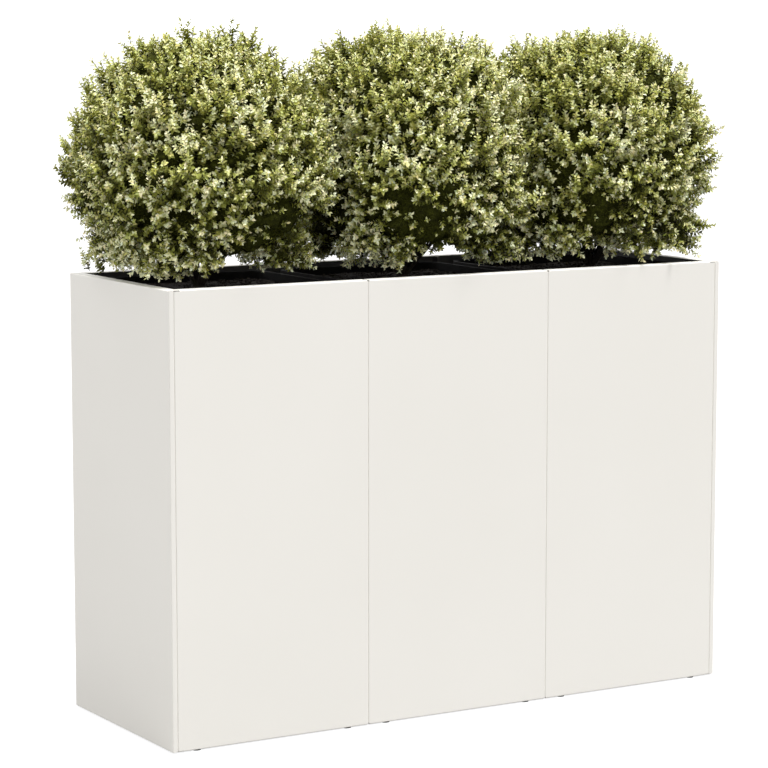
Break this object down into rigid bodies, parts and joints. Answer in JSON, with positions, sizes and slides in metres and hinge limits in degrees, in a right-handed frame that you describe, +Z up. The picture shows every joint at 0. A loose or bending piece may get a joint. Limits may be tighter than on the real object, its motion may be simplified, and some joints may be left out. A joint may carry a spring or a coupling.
{
  "type": "trough planter",
  "caption": "Tall narrow floor trough of folded coated sheet with a turned-in rim, holding small-leaved shrubs in lift-out pots on a raised shelf.",
  "frame": {"origin": "on the floor under the middle of the box, at the bottom of the middle floor pad", "axes": "+X to the right seen from the front, +Y from the front to the back, +Z up"},
  "size_m": [1.2947, 0.4767, 1.2428],
  "materials": {
    "coated_sheet": "satin",
    "zinc_sheet": "satin",
    "bolt_steel": "satin",
    "pad_rubber": "matte",
    "pot_plastic": "satin",
    "potting_soil": "matte",
    "stem_bark": "matte",
    "leaves": "satin"
  },
  "bodies": {
    "planter": {"front_panel_left": "coated_sheet", "front_panel_centre": "coated_sheet", "front_panel_right": "coated_sheet", "back_panel_left": "coated_sheet", "back_panel_centre": "coated_sheet", "back_panel_right": "coated_sheet", "side_panel_left": "coated_sheet", "side_panel_right": "coated_sheet", "base_plate_left": "zinc_sheet", "base_plate_centre": "zinc_sheet", "base_plate_right": "zinc_sheet", "shelf_left": "zinc_sheet", "shelf_centre": "zinc_sheet", "shelf_right": "zinc_sheet", "end_bearer_left": "zinc_sheet", "bearer_left": "zinc_sheet", "bearer_right": "zinc_sheet", "end_bearer_right": "zinc_sheet", "tie_bar_left": "zinc_sheet", "tie_bar_right": "zinc_sheet", "bolts_front_corner_left": "bolt_steel", "bolts_front_seam_left": "bolt_steel", "bolts_front_seam_right": "bolt_steel", "bolts_front_corner_right": "bolt_steel", "bolts_back_corner_left": "bolt_steel", "bolts_back_seam_left": "bolt_steel", "bolts_back_seam_right": "bolt_steel", "bolts_back_corner_right": "bolt_steel", "pads_front": "pad_rubber", "pads_back": "pad_rubber", "pads_middle": "pad_rubber"},
    "potted_shrub_left": {"pot_left": "pot_plastic", "soil_left": "potting_soil", "stems_left": "stem_bark", "crown_left": "leaves"},
    "potted_shrub_centre": {"pot_centre": "pot_plastic", "soil_centre": "potting_soil", "stems_centre": "stem_bark", "crown_centre": "leaves"},
    "potted_shrub_right": {"pot_right": "pot_plastic", "soil_right": "potting_soil", "stems_right": "stem_bark", "crown_right": "leaves"}
  },
  "joints": [
    {"name": "lift_left", "type": "slide", "parent": "planter", "child": "potted_shrub_left", "axis": [0, 0, 1], "range_m": [0, 0.36]},
    {"name": "lift_centre", "type": "slide", "parent": "planter", "child": "potted_shrub_centre", "axis": [0, 0, 1], "range_m": [0, 0.36]},
    {"name": "lift_right", "type": "slide", "parent": "planter", "child": "potted_shrub_right", "axis": [0, 0, 1], "range_m": [0, 0.36]}
  ]
}
